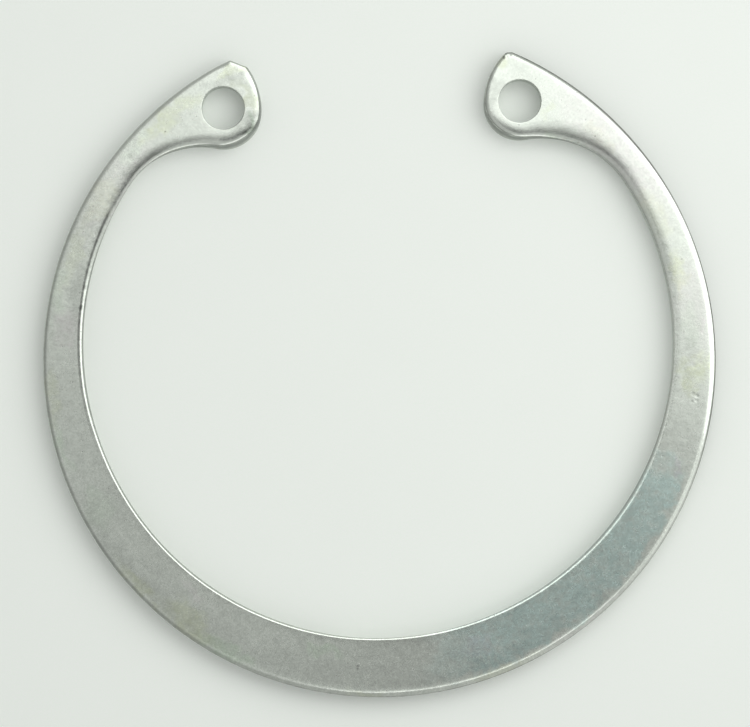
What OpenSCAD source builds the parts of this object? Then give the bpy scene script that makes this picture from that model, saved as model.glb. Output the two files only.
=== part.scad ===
// Internal retaining ring, one flat stamping of spring steel, drawn in its free state.
// It lies on its lower face. The edges that the press tool crowned look up along +Z.
// The origin is the centre of the outer circle on the lower face, and +Y points at the gap.
// Directions are compass angles in degrees: 0 is +Y and 90 is +X.

/* [Ring] */
// Outer diameter in the free state
free_d = 50.5; // [44:0.5:62]
// Thickness of the sheet
thick = 1.75; // [1.3:0.05:2.4]
// Width of the ring opposite the gap
back_w = 4.4; // [3.6:0.1:5.4]
// Width that the tapering ring would have at the gap
front_w = 1.8; // [1.4:0.1:2.4]

/* [Lugs] */
// Direction of each lug from the middle of the gap
lug_angle = 30.3; // [27:0.1:38]
// Diameter of the plier holes
hole_d = 3.2; // [2.5:0.05:3.9]
// Depth of the left hole's centre below the rim
left_hole_depth = 2.92; // [2.6:0.02:3.6]
// Depth of the right hole's centre below the rim
right_hole_depth = 3.08; // [2.6:0.02:3.6]
// Direction of each hole, measured from its lug's towards the gap
hole_shift = 0.25; // [-1:0.05:1]
// Height of a lug, from the rim to its lowest point
lug_h = 5.93; // [5:0.05:7.1]
// Radius of the left lug's lower corner
left_eye_r = 2.84; // [2.3:0.02:3.4]
// Radius of the right lug's lower corner
right_eye_r = 2.68; // [2.3:0.02:3.4]
// Radius of the hollow between the left lug and the ring
left_neck_r = 6.2; // [4:0.1:8]
// Radius of the hollow between the right lug and the ring
right_neck_r = 7.4; // [4:0.1:8]
// Radius of the slightly bulged end of a lug
end_r = 5.6; // [4.5:0.1:8]
// Lean of the left lug's end towards the gap
left_lean = 3.5; // [-4:0.5:4]
// Lean of the right lug's end towards the gap
right_lean = -3; // [-4:0.5:4]
// Depth below the rim at which the left tip is cut off straight
tip_cut = 0.96; // [0.8:0.02:1.5]
// Direction of that cut
tip_cut_a = 68; // [50:1:80]
// Radius of the right tip's rounded corner
tip_r = 0.75; // [0.4:0.05:1.2]

/* [Edges] */
// Width of the crowned edge round the rim
rim_crown = 0.4; // [0.2:0.05:0.6]
// Steepness of that crown at its outer side
rim_slope = 25; // [10:1:35]
// Width of the crowned edge along the inner side
inner_crown = 0.3; // [0.2:0.05:0.5]
// Width of the crowned edge under the lugs
lug_crown = 0.75; // [0.2:0.05:0.9]
// Width of the crowned edge on the arms beside the lugs, where it is widest
arm_crown = 1.15; // [0.4:0.05:1.3]
// Steepness of the crown along the inner side
inner_slope = 22; // [10:1:35]
// Steepness of the crown on the arms
arm_slope = 10; // [5:1:20]
// Radius of the small corner between a crown and the wall
corner_r = 0.13; // [0.05:0.01:0.2]
// Radius of the rolled edge round the plier holes
hole_roll = 0.06; // [0.04:0.01:0.2]
// How far the sheared wall under the lugs stands out at the lower face
flare = 0.18; // [0:0.02:0.3]
// How far it stands out at the lugs' ends
end_flare = 0.05; // [0:0.01:0.2]
// How far it stands out along the arms
arm_flare = 0.03; // [0:0.01:0.2]

/* [Hidden] */
steel = [0.74, 0.76, 0.74];
$fa = 2;
$fs = 0.1;

// How far the cutting shapes run past the faces and the rim
past = 1;
// Steps round the small corner of an edge, and over its crown
corner_steps = 2;
crown_steps = 2;
// Largest gap between an arc of the opening's edge and its straight steps
arc_gap = 0.003;
// Share of a plier hole's edge radius that lies below the face
hole_roll_share = 0.8;

rim_r = free_d / 2;
// The inner circle sits off centre, towards the gap
inner_r = rim_r - (back_w + front_w) / 2;
inner_c = [0, (back_w - front_w) / 2];

// A vector of length r in direction a
function at(r, a) = r * [sin(a), cos(a)];
// Direction of a vector, from 0 to 360
function compass(v) = (atan2(v[0], v[1]) + 360) % 360;
function unit(v) = v / norm(v);
function right_of(v) = [v[1], -v[0]];
// Angle between sides p and q of a triangle whose third side is r
function corner(p, q, r) = acos((p * p + q * q - r * r) / (2 * p * q));
// Points on an arc of radius r about c, from direction a0 to direction a1
function arc(c, r, a0, a1) =
    let (n = ceil(abs(a1 - a0) / (2 * acos(1 - arc_gap / r))))
    [for (i = [0:n]) c + at(r, a0 + (a1 - a0) * i / n)];
// The same path on the other side of the gap, walked the other way
function mirrored(path) = [for (i = [len(path) - 1:-1:0]) [-path[i][0], path[i][1]]];
function last(path) = path[len(path) - 1];

// A lug, drawn on the +X side, is set by the radii of its lower corner and its neck,
// and by the lean of its end
left_lug = [left_eye_r, left_neck_r, left_lean];
right_lug = [right_eye_r, right_neck_r, right_lean];
hole_angle = lug_angle - hole_shift;
left_hole_c = at(rim_r - left_hole_depth, -hole_angle);
right_hole_c = at(rim_r - right_hole_depth, hole_angle);

// The round lower corner of a lug, and the neck between it and the inner circle
function eye_c(lug) = at(rim_r - lug_h + lug[0], lug_angle);
function neck_a(lug) =
    let (v = eye_c(lug) - inner_c)
    compass(v) + corner(inner_r - lug[1], norm(v), lug[0] + lug[1]);
function neck_c(lug) = inner_c + at(inner_r - lug[1], neck_a(lug));

// The bulged end of a lug: the direction in which it starts and the centre of its arc
function end_a(lug) = 270 - lug[2];
function end_c(lug) = eye_c(lug) - at(end_r - lug[0], end_a(lug));

// From the inner circle round the neck and the lower corner to the start of the end
function lug_side(lug) =
    let (neck = neck_c(lug))
    let (eye = eye_c(lug))
    concat(
        arc(neck, lug[1], neck_a(lug), compass(eye - neck) - 360),
        arc(eye, lug[0], compass(neck - eye), end_a(lug))
    );

// The end of a lug whose tip is cut off straight, run out past the rim
function cut_end(lug) =
    let (c = end_c(lug))
    let (stop = compass(-c) + corner(norm(c), end_r, rim_r - tip_cut))
    let (bulge = arc(c, end_r, end_a(lug), stop))
    concat(bulge, [last(bulge) + at(2 * tip_cut + past, tip_cut_a)]);

// The end of a lug whose tip is rounded, run out past the rim at a shallow angle
run_out = 14;
function round_end(lug) =
    let (c = end_c(lug))
    let (tip_d = rim_r - tip_r * cos(run_out))
    let (tip_a = compass(c) - corner(norm(c), tip_d, end_r - tip_r))
    let (tip_c = at(tip_d, tip_a))
    let (start = compass(tip_c - c))
    let (stop = tip_a - run_out + 360)
    concat(
        arc(c, end_r, end_a(lug), start),
        arc(tip_c, tip_r, start, stop),
        [tip_c + at(tip_r, stop) + at(4 * past, stop + 90)]
    );

// The edge of the opening from the left tip round the inside to the right tip
inner_edge = concat(
    mirrored(concat(lug_side(left_lug), cut_end(left_lug))),
    arc(inner_c, inner_r, 360 - neck_a(left_lug), neck_a(right_lug)),
    lug_side(right_lug),
    round_end(right_lug)
);
// The same, closed by a line outside the rim, with no point twice
far_y = rim_r + 3 * past;
closed_edge = concat(inner_edge, [[last(inner_edge)[0], far_y], [inner_edge[0][0], far_y]]);
edge = [
    for (i = [0:len(closed_edge) - 1])
    if (norm(closed_edge[i] - closed_edge[(i + 1) % len(closed_edge)]) > 0.001)
    closed_edge[i]
];

// Directions from the middle of the gap: the lugs' ends and necks, where the crown of the
// arms is widest, where it is half as wide, and where the wall and the crown are plain again
end_dir = lug_angle - 8;
neck_dir = lug_angle + 9;
arm_dir = lug_angle + 24;
half_dir = lug_angle + 54;
plain_wall_dir = lug_angle + 60;
plain_crown_dir = lug_angle + 105;
// Half the angle under a lug along which its wall stands out furthest
foot = 3;
// Width and steepness of the crown and flare of the wall, by those directions
crowns = [
    [end_dir, inner_crown], [lug_angle, lug_crown], [arm_dir, arm_crown],
    [half_dir, (arm_crown + inner_crown) / 2], [plain_crown_dir, inner_crown]
];
slopes = [[end_dir, arm_slope], [half_dir, arm_slope], [plain_crown_dir, inner_slope]];
flares = [
    [end_dir, end_flare], [lug_angle - foot, flare], [lug_angle + foot, flare],
    [neck_dir, arm_flare], [plain_wall_dir, 0]
];
function off_gap(p) = abs(atan2(p[0], p[1]));

// Outward normal of the closed path at its point i
function normal(path, i) =
    let (n = len(path))
    let (before = unit(path[i] - path[(i + n - 1) % n]))
    let (after = unit(path[(i + 1) % n] - path[i]))
    right_of(unit(before + after));

// Offset and height of step k round the small corner and over a crown of width w and
// steepness s
edge_steps = corner_steps + crown_steps;
function edge_at(w, s, k) =
    let (low = thick - w * tan(s) / 2)
    let (turn = (90 - s) * k / corner_steps)
    let (t = (k - corner_steps) / crown_steps)
    k < corner_steps ? [corner_r * (1 - cos(turn)), low - corner_r * (cos(s) - sin(turn))]
    : [corner_r * (1 - sin(s)) + w * t, low + w * tan(s) * (t - t * t / 2)];
// Offset and height of step k up a wall that leans back by f and then over its edge.
// The first step starts below the lower face, and the last one ends above the upper face.
wall_steps = edge_steps + 2;
function wall_at(f, w, s, k) =
    k == 0 ? [-f * past / edge_at(w, s, 0)[1], -past]
    : [f, 0] + (k < wall_steps ? edge_at(w, s, k - 1) : edge_at(w, s, edge_steps) + [0, past]);

// The opening between the arms and the gap between the lugs, as one cutting shape
module opening_cut() {
    n = len(edge);
    points = [
        for (k = [0:wall_steps])
        for (i = [0:n - 1])
        let (a = off_gap(edge[i]))
        let (step = wall_at(lookup(a, flares), lookup(a, crowns), lookup(a, slopes), k))
        let (p = edge[i] + step[0] * normal(edge, i))
        [p[0], p[1], step[1]]
    ];
    sides = [
        for (k = [0:wall_steps - 1])
        for (i = [0:n - 1])
        let (a = k * n + i)
        let (b = k * n + (i + 1) % n)
        for (face = [[a, a + n, b + n], [a, b + n, b]])
        face
    ];
    floor_face = [for (i = [0:n - 1]) i];
    roof_face = [for (i = [n - 1:-1:0]) wall_steps * n + i];
    polyhedron(points, concat(sides, [floor_face, roof_face]), convexity = 6);
}

// A disc with a crowned edge round its rim
module crowned_disc() {
    rim = [for (k = [0:edge_steps]) edge_at(rim_crown, rim_slope, k)];
    rotate_extrude() polygon(concat(
        [[0, 0], [rim_r, 0]],
        [for (step = rim) [rim_r - step[0], step[1]]],
        [[0, thick]]
    ));
}

// A plier hole, whose upper edge is rolled over
module plier_hole() {
    r = hole_d / 2;
    roll_z = thick - hole_roll_share * hole_roll;
    translate([0, 0, -past]) cylinder(h = thick + 2 * past, r = r);
    rotate_extrude() difference() {
        translate([r / 2, roll_z]) square([r / 2 + hole_roll, hole_roll]);
        translate([r + hole_roll, roll_z]) circle(hole_roll);
    }
}

module retaining_ring() {
    color(steel) difference() {
        crowned_disc();
        opening_cut();
        for (c = [left_hole_c, right_hole_c]) translate([c[0], c[1], 0]) plier_hole();
    }
}

retaining_ring();
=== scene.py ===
# Looks of an internal retaining ring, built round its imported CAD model.
# Lengths are in millimetres until the mesh is made, and Blender gets metres.
# Directions are compass angles in degrees: 0 is +Y, the middle of the gap, and 90 is +X.
import functools
import math

import bpy
import numpy as np
from mathutils import Matrix, Vector, noise
from mathutils.geometry import delaunay_2d_cdt


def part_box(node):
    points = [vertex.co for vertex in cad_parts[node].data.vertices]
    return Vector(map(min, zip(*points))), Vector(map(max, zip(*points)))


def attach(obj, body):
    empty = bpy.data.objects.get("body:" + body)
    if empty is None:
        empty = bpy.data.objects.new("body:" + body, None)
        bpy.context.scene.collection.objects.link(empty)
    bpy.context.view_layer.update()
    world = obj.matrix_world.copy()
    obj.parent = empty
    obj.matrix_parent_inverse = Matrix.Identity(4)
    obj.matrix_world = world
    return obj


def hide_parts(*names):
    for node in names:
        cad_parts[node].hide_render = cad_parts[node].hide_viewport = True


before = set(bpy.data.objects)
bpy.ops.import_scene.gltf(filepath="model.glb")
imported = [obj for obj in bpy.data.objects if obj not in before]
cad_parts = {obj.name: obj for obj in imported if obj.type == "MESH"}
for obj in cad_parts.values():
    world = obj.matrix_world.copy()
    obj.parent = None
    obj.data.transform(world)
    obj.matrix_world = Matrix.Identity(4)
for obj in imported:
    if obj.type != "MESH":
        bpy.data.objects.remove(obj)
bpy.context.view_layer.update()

MM = 0.001
scene = bpy.context.scene

# Sizes of the ring, as in the CAD part. The rim and the thickness come from the frame.
low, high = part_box("retaining_ring")
RIM_R = -low.y / MM
THICK = high.z / MM
# Widths opposite the gap and, if the taper ran on, at the gap
BACK_W = 4.4
FRONT_W = 1.8
INNER_R = RIM_R - (BACK_W + FRONT_W) / 2
INNER_C = np.array([0, (BACK_W - FRONT_W) / 2])
# Direction of the lugs' lower corners, height of the lugs and radius of their bulged ends
LUG_DIR = 30.3
LUG_H = 5.93
END_R = 5.6
# Each lug: radius of its lower corner, radius of its neck, lean of its end
LEFT_LUG = (2.84, 6.2, 3.5)
RIGHT_LUG = (2.68, 7.4, -3)
# Depth and direction of the straight cut at the left tip
TIP_CUT = 0.96
TIP_CUT_DIR = 68
# Radius of the round right tip, and the angle at which it runs out into the rim
TIP_R = 0.75
RUN_OUT = 14
# Radius and direction of the plier holes, and depths of the left and right one's centres below the rim
HOLE_R = 1.6
HOLE_DIR = 30.05
HOLE_DEPTHS = (2.92, 3.08)

# Spacing of the mesh along the edges, over the upper face and round its marks
EDGE_STEP = 0.12
ARC_STEP = EDGE_STEP / 4
FACE_STEP = 0.26
MARK_STEP = 0.06
# No edge point but the corner itself is this close to a corner of the outline
CORNER_CLEAR = 0.28
WALL_STEPS = 5
CORNER_STEPS = 5
CROWN_STEPS = 5
# The face's points keep this clear of its edges, of the marks' finer points, and those of each other
EDGE_GAP = FACE_STEP * 0.6
MARK_GAP = FACE_STEP / 2
FINE_GAP = MARK_STEP * 0.8
# Edges that turn by more than this many degrees stay sharp
SHARP = 40
# The mesh stays this far inside the CAD box
INSET = 0.004
# Points closer than this count as one, and points this close to the rim as on it
SAME, ON_RIM = 1e-6, 0.01


def at(r, a):
    """The vector of length r in direction a."""
    return r * np.array([math.sin(math.radians(a)), math.cos(math.radians(a))])


HOLE_CENTRES = [at(RIM_R - depth, side * HOLE_DIR) for side, depth in zip((-1, 1), HOLE_DEPTHS)]


def compass(v):
    """Direction of a vector, from 0 to 360."""
    return math.degrees(math.atan2(v[0], v[1])) % 360


def corner(p, q, r):
    """Angle between sides p and q of a triangle whose third side is r."""
    return math.degrees(math.acos((p * p + q * q - r * r) / (2 * p * q)))


def arc(c, r, a0, a1):
    """Closely spaced points on an arc of radius r about c, from direction a0 to a1."""
    n = max(2, math.ceil(math.radians(abs(a1 - a0)) * r / ARC_STEP))
    return [c + at(r, a) for a in np.linspace(a0, a1, n + 1)]


def mirrored(path):
    """The same path on the other side of the gap, walked the other way."""
    return [p * (-1, 1) for p in reversed(path)]


def lug_side(lug):
    """The path round a lug's neck and lower corner, the directions at both ends, and its end's arc centre."""
    eye_r, neck_r, lean = lug
    eye = at(RIM_R - LUG_H + eye_r, LUG_DIR)
    v = eye - INNER_C
    neck_a = compass(v) + corner(INNER_R - neck_r, np.linalg.norm(v), eye_r + neck_r)
    neck = INNER_C + at(INNER_R - neck_r, neck_a)
    end_a = 270 - lean
    path = arc(neck, neck_r, neck_a, compass(eye - neck) - 360)
    path += arc(eye, eye_r, compass(neck - eye), end_a)
    return path, neck_a, end_a, eye - at(END_R - eye_r, end_a)


def outline():
    """The outline in three stretches between its corners: the left tip's cut, the inner side, the rim."""
    left, left_neck, end_a, c = lug_side(LEFT_LUG)
    stop = compass(-c) + corner(np.linalg.norm(c), END_R, RIM_R - TIP_CUT)
    left += arc(c, END_R, end_a, stop)
    cut_dir = at(1, TIP_CUT_DIR)
    cut_end = left[-1]
    run = -cut_end @ cut_dir + math.sqrt((cut_end @ cut_dir) ** 2 + RIM_R**2 - cut_end @ cut_end)
    cut = [cut_end, cut_end + run * cut_dir]

    right, right_neck, end_a, c = lug_side(RIGHT_LUG)
    tip_d = RIM_R - TIP_R * math.cos(math.radians(RUN_OUT))
    tip_a = compass(c) - corner(np.linalg.norm(c), tip_d, END_R - TIP_R)
    tip_c = at(tip_d, tip_a)
    right += arc(c, END_R, end_a, compass(tip_c - c))
    right += arc(tip_c, TIP_R, compass(tip_c - c), tip_a - RUN_OUT + 360)

    inner = mirrored(left) + arc(INNER_C, INNER_R, 360 - left_neck, right_neck) + right
    rim = arc(np.zeros(2), RIM_R, compass(right[-1]), 360 - compass(cut[-1]))
    return [np.array(path) for path in (mirrored(cut), inner, rim)]


def resampled(path, step):
    """Points at even steps along a path, its two ends kept."""
    path = path[np.r_[True, np.linalg.norm(np.diff(path, axis=0), axis=1) > SAME]]
    s = np.r_[0, np.cumsum(np.linalg.norm(np.diff(path, axis=0), axis=1))]
    n = max(1, round(s[-1] / step))
    t = np.linspace(0, s[-1], n + 1)
    return np.stack([np.interp(t, s, path[:, 0]), np.interp(t, s, path[:, 1])], axis=1)


def closed_loop(stretches):
    """The stretches joined to one loop, with no points so close to a corner that offsets cross there."""
    paths = [resampled(path, EDGE_STEP)[:-1] for path in stretches]
    loop = np.vstack(paths)
    corners = np.cumsum([0] + [len(path) for path in paths[:-1]])
    keep = np.ones(len(loop), bool)
    for i in corners:
        d = np.linalg.norm(loop - loop[i], axis=1)
        keep &= (d == 0) | (d > CORNER_CLEAR)
    return loop[keep]


def smoothed(values, width):
    """A running average round a closed loop of values."""
    return np.mean([np.roll(values, k) for k in range(-width, width + 1)], axis=0)


def mitres(loop):
    """Vectors that move each point of a closed loop into the body on its right by one unit of offset."""
    before = loop - np.roll(loop, 1, axis=0)
    after = np.roll(loop, -1, axis=0) - loop
    before /= np.linalg.norm(before, axis=1)[:, None]
    after /= np.linalg.norm(after, axis=1)[:, None]
    along = before + after
    along /= np.linalg.norm(along, axis=1)[:, None]
    inward = np.stack([along[:, 1], -along[:, 0]], axis=1)
    return inward / (before * along).sum(axis=1)[:, None]


# The form of the edges by direction round the ring: width of the crown, and its steepness in degrees
# where it meets the small round corner below it
INNER_CROWNS = (
    (0, 0.25), (20, 0.25), (24, 0.45), (30, 0.8), (34, 0.8), (40, 1.5), (50, 1.2), (60, 0.95), (75, 0.95),
    (90, 0.45), (105, 0.4), (120, 0.45), (140, 0.3), (160, 0.2), (180, 0.12), (220, 0.1), (255, 0.12),
    (265, 0.14), (275, 0.17), (285, 0.33), (295, 0.75), (305, 1.3), (320, 0.8), (328, 0.95), (335, 0.6),
    (340, 0.25), (360, 0.25),
)
INNER_SLOPES = (
    (0, 14), (24, 14), (27, 12.5), (34, 12), (40, 11), (50, 12), (60, 15), (75, 11), (90, 10), (105, 20),
    (120, 22), (160, 24), (180, 26), (200, 26), (220, 22), (275, 22), (285, 19), (295, 14), (305, 10.7),
    (320, 13), (335, 12), (340, 14), (360, 14),
)
RIM_CROWNS = (
    (0, 0.2), (25, 0.2), (36, 0.35), (90, 0.42), (105, 0.36), (120, 0.34), (132, 0.38), (145, 0.48),
    (180, 0.5), (230, 0.35), (320, 0.3), (335, 0.2), (360, 0.2),
)
RIM_SLOPES = ((0, 22), (90, 22), (105, 28), (180, 26), (225, 20), (360, 22))
# How far the top of the inner wall stands in from the outline, and how far its foot does
INNER_FLARES = (
    (0, -0.06), (22, -0.06), (26, 0.15), (28, 0.24), (32, 0.22), (36, 0.06), (40, -0.07), (50, 0),
    (75, -0.03), (90, -0.04), (105, -0.09), (120, -0.1), (140, -0.13), (160, -0.1), (180, -0.05),
    (200, 0.02), (220, 0.09), (255, 0.1), (265, 0.16), (275, 0.13), (285, 0.13), (300, 0.05), (320, 0),
    (324, 0.12), (328, 0.28), (331, 0.24), (335, 0.09), (340, 0.08), (345, 0.05), (360, -0.06),
)
INNER_FEET = (
    (0, 0), (75, 0), (105, 0.03), (140, 0), (180, 0.06), (200, 0.09), (220, 0.13), (255, 0.14),
    (265, 0.16), (285, 0.16), (300, 0.16), (312, 0.1), (318, 0), (360, 0),
)
# Radii of the small round corners
INNER_CORNERS = (
    (0, 0.14), (36, 0.14), (44, 0.06), (90, 0.06), (102, 0.04), (165, 0.05), (190, 0.12), (292, 0.12),
    (300, 0.05), (313, 0.05), (322, 0.14), (360, 0.14),
)
RIM_CORNERS = (
    (0, 0.26), (50, 0.26), (65, 0.16), (100, 0.2), (115, 0.12), (145, 0.09), (200, 0.09), (225, 0.12),
    (350, 0.12), (360, 0.26),
)
HOLE_CROWN, HOLE_SLOPE, HOLE_CORNER = 0.04, 15, 0.04
# Size of the small chamfer round the lower face
EDGE_BREAK = 0.03
# Points over which the edge's form changes between the inner side and the rim
BLEND = 8


def lookup(x, table):
    return np.interp(x, [row[0] for row in table], [row[1] for row in table])


def edge_levels(loop, crown, slope, round_r, flare, foot):
    """Points of a loop at each level: up the wall, round its small corner and over the crowned edge."""
    into = mitres(loop)
    count = len(loop)
    values = (crown, slope, round_r, flare, foot)
    crown, slope, round_r, flare, foot = (np.broadcast_to(v, count) for v in values)
    slope = np.radians(slope)
    crown_low = THICK - crown * np.tan(slope) / 2
    wall_top = crown_low - round_r * np.cos(slope)
    levels = [(foot + EDGE_BREAK, np.zeros(count))]
    for t in np.linspace(0, 1, WALL_STEPS + 1):
        z = EDGE_BREAK + (wall_top - EDGE_BREAK) * t
        levels.append((foot + (flare - foot) * z / wall_top, z))
    for t in np.linspace(0, 1, CORNER_STEPS + 1)[1:]:
        turn = (math.pi / 2 - slope) * t
        levels.append((flare + round_r * (1 - np.cos(turn)), wall_top + round_r * np.sin(turn)))
    for t in np.linspace(0, 1, CROWN_STEPS + 1)[1:]:
        off = flare + round_r * (1 - np.sin(slope)) + crown * t
        levels.append((off, crown_low + crown * np.tan(slope) * (t - t * t / 2)))
    return [np.column_stack([loop + into * off[:, None], z]) for off, z in levels]


class MeshMaker:
    """Collects vertices and faces of the ring."""

    def __init__(self):
        self.points = []
        self.faces = []

    def add(self, points):
        start = len(self.points)
        self.points.extend(map(tuple, points))
        return list(range(start, start + len(points)))

    def plan(self, loop):
        """The points of a loop, seen from above."""
        return np.array([self.points[i][:2] for i in loop])

    def sweep(self, levels):
        """Joins the levels of an edge by quads and returns the first and last loop."""
        rows = [self.add(level) for level in levels]
        for low_row, high_row in zip(rows, rows[1:]):
            n = len(low_row)
            for i in range(n):
                j = (i + 1) % n
                self.faces.append((low_row[i], high_row[i], high_row[j], low_row[j]))
        return rows[0], rows[-1]

    def fill(self, loops, extra, up):
        """Fills the space inside the first loop and outside the others, with extra points in it."""
        index = [i for loop in loops for i in loop] + extra
        flat = [Vector(self.points[i][:2]) for i in index]
        edges = []
        start = 0
        for loop in loops:
            n = len(loop)
            edges += [(start + i, start + (i + 1) % n) for i in range(n)]
            start += n
        points, _, faces, originals, _, _ = delaunay_2d_cdt(flat, edges, [], 0, SAME / 10)
        back = [index[o[0]] for o in originals]
        middles = np.array([np.mean([points[i] for i in f], axis=0) for f in faces])
        for face, kept in zip(faces, between(middles, [self.plan(loop) for loop in loops])):
            if kept:
                face = [back[i] for i in face]
                self.faces.append(face if up else face[::-1])


def inside(points, ring):
    """Whether each point lies inside a closed ring of points."""
    a, b = ring, np.roll(ring, -1, axis=0)
    result = np.zeros(len(points), bool)
    for (x0, y0), (x1, y1) in zip(a, b):
        if y0 != y1:
            crosses = (points[:, 1] > min(y0, y1)) & (points[:, 1] <= max(y0, y1))
            result ^= crosses & (points[:, 0] < x0 + (points[:, 1] - y0) * (x1 - x0) / (y1 - y0))
    return result


def between(points, rings):
    """Whether each point lies inside the first ring and outside the others."""
    keep = inside(points, rings[0])
    for ring in rings[1:]:
        keep &= ~inside(points, ring)
    return keep


# Points that are tested against a ring at once, which bounds the memory it takes
BATCH = 2000


def clear_of(points, ring, gap):
    """Whether each point is more than a gap away from every point of a ring."""
    far = np.ones(len(points), bool)
    for part in np.array_split(np.arange(len(points)), max(1, len(points) // BATCH)):
        d = points[part][:, None, :] - ring[None, :, :]
        far[part] = (d**2).sum(axis=2).min(axis=1) > gap * gap
    return far


def face_points(rings):
    """Points in a triangle pattern over the upper face, clear of its edges."""
    xs = np.arange(-RIM_R, RIM_R, FACE_STEP)
    ys = np.arange(-RIM_R, RIM_R, FACE_STEP * math.sqrt(3) / 2)
    grid = np.array([(x + FACE_STEP / 2 * (j % 2), y) for j, y in enumerate(ys) for x in xs])
    grid = grid[between(grid, rings)]
    for ring in rings:
        grid = grid[clear_of(grid, ring, EDGE_GAP)]
    return grid


# Dents and nicks in the upper face: their place, radius, depth and darkness
MARKS = (
    (23.44, -3.16, 0.22, 0.006, 0.1), (23.74, -3.36, 0.22, 0.010, 0.0), (23.66, -3.66, 0.20, 0.007, 0.0),
    (23.36, -3.74, 0.15, 0.004, 0.15), (-2.27, -22.78, 0.17, 0.010, 0.4), (-2.31, -23.00, 0.14, 0.008, 0.35),
    (-10.15, 22.30, 0.30, 0.010, 0.1), (-9.70, 22.25, 0.24, 0.008, 0.0), (-22.32, 4.60, 0.24, 0.010, 0.25),
    (-21.95, 6.10, 0.22, 0.008, 0.2), (10.24, 22.58, 0.22, 0.022, 0.0), (10.02, 22.50, 0.17, 0.004, 0.55),
    (10.55, 22.66, 0.15, 0.004, 0.45), (-18.3, 15.9, 0.30, 0.004, 0.1),
)
# The fine mesh reaches this many radii out from a mark's middle
MARK_REACH = 1.4
# Slow waves of the face, always below the sheet's thickness: their length, depth and place in the noise
WAVE, WAVE_DEPTH, WAVE_Z = 3.2, 0.0045, 5.3
# Only points this close to the upper face follow its waves and marks
RELIEF_DEPTH = 0.3


def mark_points(rings):
    """Closely spaced points in and round each mark."""
    spots = []
    for x, y, r, _, _ in MARKS:
        n = math.ceil(MARK_REACH * r / MARK_STEP)
        steps = [i * MARK_STEP for i in range(-n, n + 1)]
        spots += [(x + dx, y + dy) for dx in steps for dy in steps]
    spots = np.unique(np.round(spots, 4), axis=0)
    spots = spots[between(spots, rings)]
    for ring in rings:
        spots = spots[clear_of(spots, ring, MARK_STEP)]
    kept = [spots[0]]
    for spot in spots[1:]:
        if np.linalg.norm(np.array(kept) - spot, axis=1).min() > FINE_GAP:
            kept.append(spot)
    return np.array(kept)


def sunk(x, y, z):
    """Height of a point after the waves and marks of the upper face."""
    follow = min(1, max(0, (z - THICK + RELIEF_DEPTH) / RELIEF_DEPTH)) ** 2
    fall = WAVE_DEPTH * (1 + noise.noise(Vector((x / WAVE, y / WAVE, WAVE_Z))))
    for mark_x, mark_y, r, depth, _ in MARKS:
        d = math.hypot(x - mark_x, y - mark_y) / r
        if d < 1:
            fall += depth * (1 - d * d) ** 2
    return z - follow * fall


def ring_mesh():
    """The whole ring: its walls and edges swept round the outline and the holes, and its two faces."""
    loop = closed_loop(outline())
    on_rim = np.linalg.norm(loop, axis=1) > RIM_R - ON_RIM
    way = np.degrees(np.arctan2(loop[:, 0], loop[:, 1])) % 360
    no_lean = ((0, 0),)
    tables = (
        (RIM_CROWNS, INNER_CROWNS), (RIM_SLOPES, INNER_SLOPES), (RIM_CORNERS, INNER_CORNERS),
        (no_lean, INNER_FLARES), (no_lean, INNER_FEET),
    )
    forms = [smoothed(np.where(on_rim, lookup(way, a), lookup(way, b)), BLEND) for a, b in tables]
    maker = MeshMaker()
    swept = [maker.sweep(edge_levels(loop, *forms))]
    count = math.ceil(2 * math.pi * HOLE_R / EDGE_STEP)
    for centre in HOLE_CENTRES:
        hole = np.array([centre + at(HOLE_R, -a) for a in np.arange(count) * 360 / count])
        swept.append(maker.sweep(edge_levels(hole, HOLE_CROWN, HOLE_SLOPE, HOLE_CORNER, 0, 0)))
    low_loops, high_loops = zip(*swept)
    rings = [maker.plan(loop) for loop in high_loops]
    grid = face_points(rings)
    close = mark_points(rings)
    grid = np.vstack([grid[clear_of(grid, close, MARK_GAP)], close])
    extra = maker.add([(x, y, THICK) for x, y in grid])
    maker.fill(high_loops, extra, up=True)
    maker.fill(low_loops, [], up=False)
    maker.points = [(x, y, sunk(x, y, z)) for x, y, z in maker.points]
    return maker


def make_object(name, points, faces, material):
    mesh = bpy.data.meshes.new(name)
    scale = MM * (1 - INSET / RIM_R)
    mesh.from_pydata([(x * scale, y * scale, z * MM) for x, y, z in points], [], faces)
    mesh.validate()
    mesh.shade_smooth()
    mesh.set_sharp_from_angle(angle=math.radians(SHARP))
    mesh.materials.append(material)
    obj = bpy.data.objects.new(name, mesh)
    scene.collection.objects.link(obj)
    return obj


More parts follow.
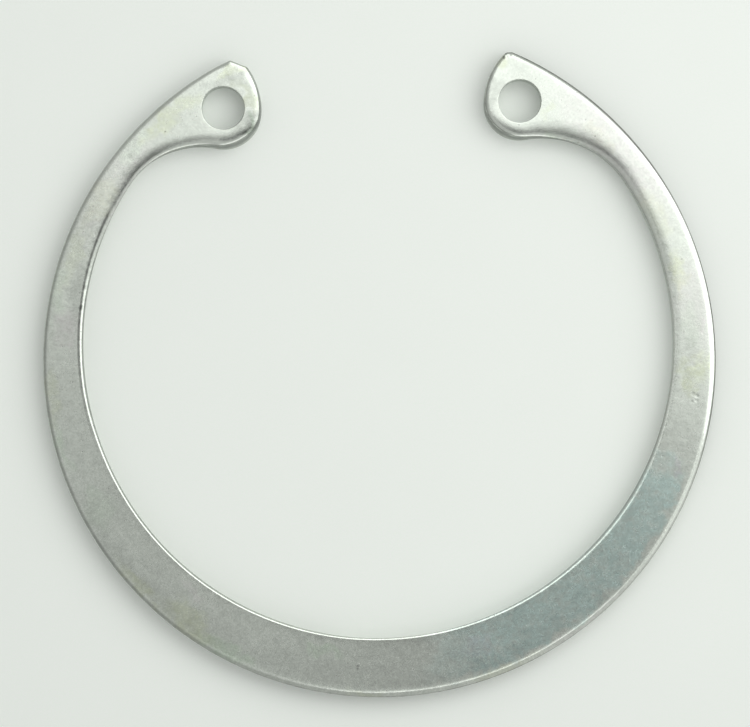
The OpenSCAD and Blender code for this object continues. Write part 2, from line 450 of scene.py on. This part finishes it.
class Tree:
    """Makes the nodes of a material or world."""

    def __init__(self, owner):
        owner.use_nodes = True
        self.nodes, self.links = owner.node_tree.nodes, owner.node_tree.links

    def node(self, kind, inputs, **settings):
        """A node with its settings, and each input either linked or set to a value."""
        node = self.nodes.new("ShaderNode" + kind)
        for name, value in settings.items():
            setattr(node, name, value)
        for name, value in inputs.items():
            self.set(node.inputs[name], value)
        return node

    def set(self, socket, value):
        if isinstance(value, bpy.types.NodeSocket):
            self.links.new(value, socket)
        else:
            socket.default_value = value

    def math(self, operation, *values, clamp=False):
        node = self.node("Math", dict(enumerate(values)), operation=operation, use_clamp=clamp)
        return node.outputs[0]

    def product(self, *values):
        return functools.reduce(lambda a, b: self.math("MULTIPLY", a, b), values)

    def total(self, *values):
        return functools.reduce(lambda a, b: self.math("ADD", a, b), values)

    def less(self, value, share):
        """A value of which a share is taken off."""
        return self.product(value, self.math("SUBTRACT", 1.0, share))

    def vector(self, operation, *values, output="Vector"):
        return self.node("VectorMath", dict(enumerate(values)), operation=operation).outputs[output]

    def step(self, value, start, end, low=0.0, high=1.0):
        """Smooth change from low to high while a value goes from start to end."""
        inputs = {"Value": value, "From Min": start, "From Max": end, "To Min": low, "To Max": high}
        return self.node("MapRange", inputs, interpolation_type="SMOOTHSTEP").outputs["Result"]

    def noise(self, vector, size, detail, spread):
        """Noise about 0, within about one spread of it, with features of a size in the vector's units."""
        inputs = {"Vector": vector, "Scale": 1 / size, "Detail": detail, "Roughness": 0.5}
        fac = self.node("TexNoise", inputs).outputs["Fac"]
        return self.product(self.math("SUBTRACT", fac, 0.5), 3 * spread)

    def split(self, vector):
        return self.node("SeparateXYZ", {"Vector": vector}).outputs

    def join(self, x, y, z=0.0):
        return self.node("CombineXYZ", {"X": x, "Y": y, "Z": z}).outputs[0]

    def blend(self, factor, first, second, blend_type="MIX"):
        inputs = {"Factor": factor, "A": first, "B": second}
        node = self.nodes.new("ShaderNodeMix")
        node.data_type = "RGBA"
        node.blend_type = blend_type
        for name, value in inputs.items():
            socket = next(i for i in node.inputs if i.name == name and i.enabled)
            self.set(socket, value)
        return next(o for o in node.outputs if o.enabled)

    def place(self):
        """Coordinates on the object, in millimetres."""
        return self.vector("MULTIPLY", self.node("TexCoord", {}).outputs["Object"], (1 / MM,) * 3)


STEEL = (0.635, 0.68, 0.615, 1)
# Tints of the plating, and painted shade and painted light, as shares of its colour
OLIVE = (0.99, 1.0, 0.88, 1)
GREEN = (0.93, 1.02, 0.92, 1)
BLUE = (0.865, 1.0, 1.03, 1)
ROSE = (1.05, 0.98, 1.04, 1)
# These three are painted shade, deeper painted shade and painted light, for how light falls on the slightly
# crowned face
PAINTED_SHADE = (0.83, 0.83, 0.83, 1)
PAINTED_DEEP_SHADE = (0.6, 0.6, 0.6, 1)
PAINTED_LIGHT = (1.12, 1.12, 1.12, 1)
# Stains and patches of painted light and shade: direction and its half width, distance from the centre and
# its half width, colour, strength.
# Directions in the material go from -180 to 180.
STAINS_AND_PAINTED_SHADING = (
    (-25.5, 3.0, 24.5, 0.6, OLIVE, 1.0), (-24.6, 1.6, 22.2, 1.6, OLIVE, 0.7),
    (-26.8, 1.6, 20.2, 0.9, GREEN, 0.7),
    (-39, 6, 24.2, 0.9, OLIVE, 0.9), (-47, 5, 24.4, 0.7, GREEN, 0.3), (-58.4, 5, 24.1, 1.0, OLIVE, 0.5),
    (-69, 7, 24.4, 0.7, OLIVE, 0.5), (-77, 5, 24.7, 0.6, GREEN, 0.4), (-82.2, 4, 23.6, 1.2, ROSE, 0.7),
    (-94, 5, 24.5, 0.6, OLIVE, 0.6), (-102, 5, 24.7, 0.5, GREEN, 0.6), (-116.5, 4, 23.7, 1.6, GREEN, 0.35),
    (-131, 5, 24.8, 0.6, OLIVE, 0.9), (-142, 7, 24.2, 1.2, OLIVE, 1.0), (-150, 6, 24.6, 0.8, GREEN, 0.8),
    (-140, 3, 22.3, 0.6, ROSE, 0.5), (-167, 4, 22.2, 0.5, GREEN, 0.7), (-176, 4, 24.9, 0.4, OLIVE, 0.5),
    (160, 8, 25.0, 0.5, OLIVE, 0.6), (163, 4, 22.5, 0.9, ROSE, 0.8), (142, 12, 25.05, 0.3, ROSE, 0.4),
    (93, 3.5, 23.7, 1.6, OLIVE, 1.0), (85.6, 4, 23.5, 0.9, GREEN, 0.4), (75, 6, 23.3, 0.8, OLIVE, 1.0),
    (62.5, 6, 23.5, 0.9, OLIVE, 0.5), (50, 18, 24.2, 2.0, ROSE, 0.7), (46, 4, 23.6, 0.7, OLIVE, 0.4),
    (24.2, 2.0, 24.3, 0.7, OLIVE, 0.9), (35.5, 2.2, 22.6, 0.8, OLIVE, 0.5),
    (39.6, 2.0, 21.2, 0.6, GREEN, 0.4),
    # The grey and bright patches from here on are painted shade and painted light on the crowned face; the
    # rose ones are stains
    (-50, 11, 24.3, 1.6, PAINTED_LIGHT, 0.8), (-75, 8, 24.5, 0.9, PAINTED_LIGHT, 1.0), (-75, 9, 23.0, 0.8, PAINTED_SHADE, 0.8),
    (-132, 22, 24.7, 1.1, PAINTED_SHADE, 0.9), (-158, 36, 22.0, 1.4, PAINTED_LIGHT, 0.9), (158, 36, 22.0, 1.4, PAINTED_LIGHT, 0.8),
    (165, 20, 24.4, 0.9, PAINTED_SHADE, 0.5), (90, 6, 23.1, 0.7, PAINTED_SHADE, 0.6), (90, 6, 24.5, 0.7, PAINTED_LIGHT, 0.6),
    (50, 9, 23.15, 0.4, PAINTED_SHADE, 0.6), (82, 10, 24.0, 1.8, ROSE, 0.5), (-55, 14, 23.8, 1.6, ROSE, 0.4),
    (-24.0, 2.0, 22.2, 2.8, PAINTED_DEEP_SHADE, 0.5), (-25, 7, 20.35, 0.9, PAINTED_DEEP_SHADE, 1.0), (-27.5, 5.0, 23.9, 0.7, PAINTED_SHADE, 1.0),
    (23.5, 2.6, 22.0, 2.6, PAINTED_SHADE, 1.0), (27, 5, 24.6, 0.8, PAINTED_SHADE, 0.4), (111.2, 1.2, 23.7, 0.5, ROSE, 0.9),
    (86, 1.6, 24.3, 0.5, ROSE, 0.5),
)
# A pair of values below says where a look begins and where it is full
STAIN_AND_SHADING_EDGE = (1.15, 0.35)
STAIN_AND_SHADING_COVER, BLUE_COVER = 0.8, 0.85
# The large blue-green patch: its two ends, its limit near the rim, and its share at the inner edge
BLUE_START, BLUE_END, BLUE_LIMIT = (108, 115), (176, 160), (24.8, 24.2)
BLUE_EDGE_W, BLUE_EDGE_SHARE = 0.35, 0.5
# The lugs and the right arm are smoother than the rest, between these limits and by this share
CALM_LEFT, CALM_RIGHT, CALM = (-75, -45), (130, 100), 0.5
# Painted shade in a line along the left arm's crown: its two ends, distance from the inner edge, half width
# and darkness
LINE_START, LINE_END = (-114, -82), (-57, -62)
LINE_INSET, LINE_HALF, LINE_DARK = 0.41, 0.13, 0.5
# Full darkness covers this share of a mark's radius
MARK_CORE = 0.3
# Dark specks: spacing, share of cells that have one, size, darkness, roughness and depth in metres
SPECK_SPACING, SPECK_CHOICE, SPECK_SIZE = 0.62, (0.60, 0.72), (0.15, 0.05)
SPECK_DARK, SPECK_ROUGH, SPECK_DEPTH = 0.22, 0.08, 1.5e-6
# Walls by how level their surface is, and the torn band by height and by share of its lower part
WALL = (0.75, 0.45)
TORN_TOP, TORN_LOW, TORN_FOOT_SHARE = (THICK * 0.97, THICK * 0.87), (0, THICK * 0.6), 0.35
TORN_DARK, TORN_DULL, TORN_ROUGH = 0.6, 0.6, 0.28
SCORE_SHADE, SCORE_DEPTH = 0.06, 6e-6
# Where the wall of the opening is cleaner, and by what share
CLEAN_BACK, CLEAN_BACK_LEFT, CLEAN_BACK_SHARE = (98, 115), (-162, -174), 0.8
CLEAN_RIGHT, CLEAN_RIGHT_SHARE = (40, 48), 0.45
CLEAN_DEPTH = (RIM_R - 0.3, RIM_R - 0.6)
# The holes' walls are torn by this share only
HOLE_TORN, HOLE_TORN_REACH = 0.35, (HOLE_R + 0.2, HOLE_R + 0.3)
# Painted shade on the steep corner of the rim: surface, distance, and darkness at the right and at the back
OUTLINE_LEVEL, OUTLINE_REACH = (0.88, 0.6), (RIM_R - 0.4, RIM_R - 0.3)
OUTLINE_RIGHT, OUTLINE_RIGHT_END, OUTLINE_RIGHT_DARK = (0, 12), (120, 100), 0.55
OUTLINE_BACK, OUTLINE_BACK_LEFT, OUTLINE_BACK_DARK = (145, 160), (-140, -160), 0.22
# Painted highlight on the rim's crown at the right: its inner and outer limit, its two ends and its strength
HIGHLIGHT_INNER, HIGHLIGHT_OUTER = (RIM_R - 0.5, RIM_R - 0.35), (RIM_R - 0.12, RIM_R - 0.2)
HIGHLIGHT_START, HIGHLIGHT_END, HIGHLIGHT_STRENGTH = (85, 100), (138, 122), (104, 116, 0.14, 0.34)
DARKEST = 0.1
# Surfaces at these levels have the face's roughness and the crowned edge's
ROUGH_LEVELS, ROUGH_FACE, ROUGH_EDGE = (0.9995, 0.985), 0.262, 0.15

# Noises: size of the features in mm, detail, spread
WANDER_DEGREES = (1.6, 2, 4)
WANDER_MM = (1.1, 2, 0.7)
STAIN_AND_SHADING_GAPS = (0.45, 3, 0.5)
BLUE_BLOTCHES = (1.5, 2, 0.35)
CLOUDS = (2.2, 2, 0.035)
MOTTLE = (0.5, 3, 0.09)
GRAIN = (0.13, 2, 0.14)
STREAKS, STREAK_STRETCH = (0.25, 2, 0.04), 0.12
SCORES, SCORE_STRETCH = (0.12, 3, 1), 0.1
TORN_RAGGED = (0.7, 2, 0.12)
ROUGH_GRAIN = (0.3, 3, 0.022)
ROUGH_CLOUDS = (2.5, 2, 0.012)
RELIEF_GRAIN = (0.16, 2, 6e-7)
RELIEF_DIMPLES = (0.8, 2, 2.2e-6)


class RingTree(Tree):
    """The nodes of the ring's material, with the measures by which its looks are placed."""

    def __init__(self, owner):
        super().__init__(owner)
        self.where = self.place()
        self.x, self.y, self.z = self.split(self.where)[:3]
        # 1 on level surfaces, 0 on upright ones
        self.level = self.math("ABSOLUTE", self.split(self.node("TexCoord", {}).outputs["Normal"])[2])
        self.degrees = self.product(self.math("ARCTAN2", self.x, self.y), math.degrees(1))
        self.radius = self.away((0, 0))
        self.inwards = self.away(INNER_C)
        self.round_rim = self.product(self.degrees, RIM_R * math.radians(1))

    def away(self, point):
        """Distance from a point, seen from above."""
        return self.vector("DISTANCE", self.join(self.x, self.y), (*point, 0), output="Value")

    def speck_mask(self):
        cells = self.node("TexVoronoi", {"Vector": self.where, "Scale": 1 / SPECK_SPACING}, feature="F1")
        chosen = self.step(self.split(cells.outputs["Color"])[0], *SPECK_CHOICE)
        return self.product(chosen, self.step(cells.outputs["Distance"], *SPECK_SIZE))

    def stains_and_painted_shading(self):
        """The plating's colour with the blue-green patch, the stains, and patches of painted light and shade,
        whose outlines wander.
        """
        direction = self.total(self.degrees, self.noise(self.where, *WANDER_DEGREES))
        distance = self.total(self.radius, self.noise(self.where, *WANDER_MM))
        gaps = self.noise(self.where, *STAIN_AND_SHADING_GAPS)
        blotches = self.total(gaps, self.noise(self.where, *BLUE_BLOTCHES))
        blue = self.product(
            self.step(direction, *BLUE_START),
            self.step(direction, *BLUE_END),
            self.step(distance, *BLUE_LIMIT),
            self.step(self.inwards, INNER_R, INNER_R + BLUE_EDGE_W, low=BLUE_EDGE_SHARE),
            self.math("ADD", blotches, BLUE_COVER, clamp=True),
        )
        colour = self.blend(blue, STEEL, tuple(a * b for a, b in zip(STEEL, BLUE)))
        polar = self.join(direction, distance)
        cover = self.math("ADD", gaps, STAIN_AND_SHADING_COVER, clamp=True)
        # The patches are stains, painted shade and painted light
        for way, way_half, out, out_half, tone, strength in STAINS_AND_PAINTED_SHADING:
            off = self.vector("SUBTRACT", polar, (way, out, 0))
            off = self.vector("LENGTH", self.vector("DIVIDE", off, (way_half, out_half, 1)), output="Value")
            mask = self.product(self.step(off, *STAIN_AND_SHADING_EDGE, high=strength), cover)
            colour = self.blend(mask, colour, tone, "MULTIPLY")
        return colour

    def surface_shade(self):
        """Change of brightness from clouds, mottle, grain and streaks across the ring, calmer in places."""
        across = self.join(self.round_rim, self.product(self.radius, STREAK_STRETCH))
        noises = [self.noise(self.where, *recipe) for recipe in (CLOUDS, MOTTLE, GRAIN)]
        shade = self.total(*noises, self.noise(across, *STREAKS))
        calm = self.product(self.step(self.degrees, *CALM_LEFT), self.step(self.degrees, *CALM_RIGHT))
        return self.less(shade, self.product(calm, CALM))

    def arm_painted_shade_line(self):
        """Painted shade in a line along the inner edge of the left arm."""
        off = self.math("ABSOLUTE", self.math("SUBTRACT", self.inwards, INNER_R + LINE_INSET))
        ends = [self.step(self.degrees, *end) for end in (LINE_START, LINE_END)]
        return self.product(self.step(off, LINE_HALF, LINE_HALF / 4), *ends)

    def torn_band(self, wall):
        """The rough lower band of the sheared walls, weaker towards its foot and where they are cleaner."""
        height = self.total(self.z, self.noise(self.where, *TORN_RAGGED))
        lower = self.step(height, *TORN_LOW, low=TORN_FOOT_SHARE)
        torn = self.product(wall, self.step(height, *TORN_TOP), lower)
        back = [self.step(self.degrees, *part) for part in (CLEAN_BACK, CLEAN_BACK_LEFT)]
        back = self.product(self.math("MAXIMUM", *back), CLEAN_BACK_SHARE)
        right = self.product(self.step(self.degrees, *CLEAN_RIGHT), CLEAN_RIGHT_SHARE)
        clean = self.product(self.math("MAXIMUM", back, right), self.step(self.radius, *CLEAN_DEPTH))
        holes = [self.step(self.away(c), *HOLE_TORN_REACH, low=HOLE_TORN) for c in HOLE_CENTRES]
        return self.product(self.less(torn, clean), *holes)

    def rim_painted_shade(self):
        """Painted shade on the steep corner of the rim, at the right and at the back."""
        right = [self.step(self.degrees, *end) for end in (OUTLINE_RIGHT, OUTLINE_RIGHT_END)]
        back = [self.step(self.degrees, *part) for part in (OUTLINE_BACK, OUTLINE_BACK_LEFT)]
        back = self.product(self.math("MAXIMUM", *back), OUTLINE_BACK_DARK)
        strength = self.total(self.product(*right, OUTLINE_RIGHT_DARK), back)
        steep = self.step(self.level, *OUTLINE_LEVEL)
        return self.product(steep, self.step(self.radius, *OUTLINE_REACH), strength)

    def rim_painted_highlight(self):
        """Painted highlight on the crown of the rim at the right."""
        band = [self.step(self.radius, *limit) for limit in (HIGHLIGHT_INNER, HIGHLIGHT_OUTER)]
        ends = [self.step(self.degrees, *end) for end in (HIGHLIGHT_START, HIGHLIGHT_END)]
        return self.product(*band, *ends, self.step(self.degrees, *HIGHLIGHT_STRENGTH))


def plated_steel():
    """Satin plated spring steel: fine grain, stains, streaks, specks and marks, and sheared walls, with
    painted shade and painted highlights.
    """
    material = bpy.data.materials.new("plated_steel_satin")
    t = RingTree(material)
    shader = t.nodes["Principled BSDF"]
    speck = t.speck_mask()
    wall = t.step(t.level, *WALL)
    torn = t.torn_band(wall)
    scores = t.product(wall, t.noise(t.join(t.round_rim, t.product(t.z, SCORE_STRETCH), t.radius), *SCORES))

    marks = [t.step(t.away((x, y)), r, MARK_CORE * r, high=-dark) for x, y, r, _, dark in MARKS if dark > 0]
    # The brightness below holds painted shade along the left arm and on the rim's corner, and a painted
    # highlight on the rim's crown
    value = t.total(
        1.0,
        t.surface_shade(),
        t.product(speck, -SPECK_DARK),
        t.product(t.arm_painted_shade_line(), -LINE_DARK),
        t.product(scores, SCORE_SHADE),
        t.product(torn, -TORN_DARK),
        t.product(t.rim_painted_shade(), -1.0),
        t.rim_painted_highlight(),
        *marks,
    )
    value = t.math("MAXIMUM", value, DARKEST)
    t.set(shader.inputs["Base Color"], t.blend(1.0, t.stains_and_painted_shading(), t.join(value, value, value), "MULTIPLY"))
    t.set(shader.inputs["Metallic"], t.math("SUBTRACT", 1.0, t.product(torn, TORN_DULL)))

    rough = t.total(
        t.step(t.level, *ROUGH_LEVELS, ROUGH_FACE, ROUGH_EDGE),
        t.noise(t.where, *ROUGH_GRAIN),
        t.noise(t.where, *ROUGH_CLOUDS),
        t.product(torn, TORN_ROUGH),
        t.product(speck, SPECK_ROUGH),
    )
    t.set(shader.inputs["Roughness"], rough)

    # Relief in metres
    relief = t.total(
        t.noise(t.where, *RELIEF_GRAIN),
        t.noise(t.where, *RELIEF_DIMPLES),
        t.product(scores, SCORE_DEPTH),
        t.product(speck, -SPECK_DEPTH),
    )
    bump = t.node("Bump", {"Height": relief, "Distance": 1.0, "Strength": 1.0})
    t.set(shader.inputs["Normal"], bump.outputs["Normal"])
    return material


# The floor's half width in metres, its colour, how much of its brightness is its own, and its noises
FLOOR_HALF = 3
PAPER = (0.875, 0.92, 0.865, 1)
PAPER_GLOW = 0.1
PAPER_ROUGH, PAPER_SPECULAR = 0.9, 0.2
PAPER_GRAIN, PAPER_CLOUDS = (0.16, 2, 0.022), (6, 2, 0.006)


def add_floor():
    """A large sheet of pale paper. A little of its brightness is its own, and it keeps the ring's shadow."""
    mesh = bpy.data.meshes.new("floor")
    corners = [(x * FLOOR_HALF, y * FLOOR_HALF, 0) for x, y in ((-1, -1), (1, -1), (1, 1), (-1, 1))]
    mesh.from_pydata(corners, [], [range(4)])
    floor = bpy.data.objects.new("floor", mesh)
    scene.collection.objects.link(floor)
    material = bpy.data.materials.new("pale_paper")
    t = Tree(material)
    shader = t.nodes["Principled BSDF"]
    place = t.place()
    grain = t.total(t.noise(place, *PAPER_GRAIN), t.noise(place, *PAPER_CLOUDS), 1.0)
    t.set(shader.inputs["Base Color"], t.blend(1.0, PAPER, t.join(grain, grain, grain), "MULTIPLY"))
    t.set(shader.inputs["Roughness"], PAPER_ROUGH)
    t.set(shader.inputs["Specular IOR Level"], PAPER_SPECULAR)
    rays = t.node("LightPath", {}).outputs
    seen = t.math("ADD", rays["Is Camera Ray"], rays["Is Glossy Ray"])
    seen = t.math("ADD", seen, rays["Is Transmission Ray"], clamp=True)
    t.set(shader.inputs["Emission Color"], PAPER)
    t.set(shader.inputs["Emission Strength"], t.product(seen, PAPER_GLOW))
    mesh.materials.append(material)


# Lamps: name, place, width and height, turn about the line to the ring in radians, radiance
LAMPS = (
    ("softbox", (61.5, 38.7, 114), (107.5, 189.5), -0.786, 1.146),
    ("small_softbox", (40, -128, 300), (135, 34), 0.0, 1.1),
)
# The dark card: place of its middle, radius, number of corners and colour
CARD_PLACE, CARD_R, CARD_CORNERS = (18, -9, 302), 49.8, 72
CARD_COLOUR = (0.02, 0.02, 0.02, 1)


def add_softbox(name, place, size, turn, radiance):
    """A rectangular lamp that faces the ring's centre, turned about that line of sight."""
    data = bpy.data.lights.new(name, "AREA")
    data.shape = "RECTANGLE"
    data.size, data.size_y = size[0] * MM, size[1] * MM
    data.energy = radiance * math.pi * data.size * data.size_y
    lamp = bpy.data.objects.new(name, data)
    lamp.location = Vector(place) * MM
    back = Vector(place).normalized()
    side = Vector((0, 0, 1)).cross(back).normalized()
    up = back.cross(side)
    across = side * math.cos(turn) + up * math.sin(turn)
    along = up * math.cos(turn) - side * math.sin(turn)
    lamp.rotation_euler = Matrix((across, along, back)).transposed().to_euler()
    lamp.visible_camera = False
    scene.collection.objects.link(lamp)


def add_card(name):
    """A round dark card above the ring, which the flat steel mirrors. Only reflections show it."""
    data = bpy.data.meshes.new(name)
    middle, height = np.array(CARD_PLACE[:2]), CARD_PLACE[2]
    rim = [middle + at(CARD_R, 360 * i / CARD_CORNERS) for i in range(CARD_CORNERS)]
    data.from_pydata([(x * MM, y * MM, height * MM) for x, y in rim], [], [range(CARD_CORNERS)])
    card = bpy.data.objects.new(name, data)
    material = bpy.data.materials.new("dark_card")
    t = Tree(material)
    t.set(t.nodes["Principled BSDF"].inputs["Base Color"], CARD_COLOUR)
    data.materials.append(material)
    card.visible_camera = False
    card.visible_shadow = False
    scene.collection.objects.link(card)


# Brightness of the room: overhead, half way up and at the horizon, and how the last two change
# towards +X and +Y
ROOM_TOP = 0.65
ROOM_MIDDLE, MIDDLE_CHANGE = 0.585, (0.24, 0.055, 0)
ROOM_HORIZON, HORIZON_CHANGE = 0.12, (-0.28, 0.33, 0)
ROOM_DARKEST = 0.03
# Heights, as the sine of the angle up, between which one passes into the next
TO_TOP, TO_HORIZON = (0.82, 0.98), (0.42, 0.08)


def add_world():
    """A plain room, darker towards the horizon."""
    world = bpy.data.worlds.new("room")
    t = Tree(world)
    direction = t.node("TexCoord", {}).outputs["Generated"]
    height = t.split(direction)[2]
    level_way = t.vector("NORMALIZE", t.vector("MULTIPLY", direction, (1, 1, 0)))

    def varied(brightness, change):
        towards = t.vector("DOT_PRODUCT", level_way, change, output="Value")
        return t.math("MAXIMUM", t.total(towards, brightness), ROOM_DARKEST)

    def passing(first, second, share):
        return t.total(first, t.product(t.math("SUBTRACT", second, first), share))

    room = passing(varied(ROOM_MIDDLE, MIDDLE_CHANGE), ROOM_TOP, t.step(height, *TO_TOP))
    room = passing(room, varied(ROOM_HORIZON, HORIZON_CHANGE), t.step(height, *TO_HORIZON))
    t.set(t.nodes["Background"].inputs["Color"], t.join(room, room, room))
    scene.world = world


# The frame of the photograph: the ring's centre in pixels, pixels to the millimetre, and the ring's turn
FRAME_W, FRAME_H = 750, 727
CENTRE_PX = (379.5, 361.0)
PX_PER_MM = 13.327
TURN = 1.7
# The camera's height and sensor width, and in metres the nearest and farthest that it sees
CAMERA_HEIGHT = 300
SENSOR = 36
NEAREST, FARTHEST = 0.01, 20


def add_camera():
    """A camera that looks straight down, placed so that the ring lies as in the photograph."""
    data = bpy.data.cameras.new("camera")
    data.sensor_width = SENSOR
    data.sensor_fit = "HORIZONTAL"
    data.lens = PX_PER_MM * SENSOR * (CAMERA_HEIGHT - THICK) / FRAME_W
    data.clip_start, data.clip_end = NEAREST, FARTHEST
    camera = bpy.data.objects.new("camera", data)
    turn = math.radians(TURN)
    right = (FRAME_W / 2 - CENTRE_PX[0]) / PX_PER_MM
    up = (CENTRE_PX[1] - FRAME_H / 2) / PX_PER_MM
    x = right * math.cos(turn) + up * math.sin(turn)
    y = -right * math.sin(turn) + up * math.cos(turn)
    camera.location = (x * MM, y * MM, CAMERA_HEIGHT * MM)
    camera.rotation_euler = (0, 0, -turn)
    scene.collection.objects.link(camera)
    scene.camera = camera


add_camera()
steel = plated_steel()
made = ring_mesh()
ring = make_object("retaining_ring_finished", made.points, made.faces, steel)
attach(ring, "root")
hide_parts("retaining_ring")

add_floor()
add_world()
for lamp in LAMPS:
    add_softbox(*lamp)
add_card("camera_card")
scene.view_settings.view_transform = "Standard"
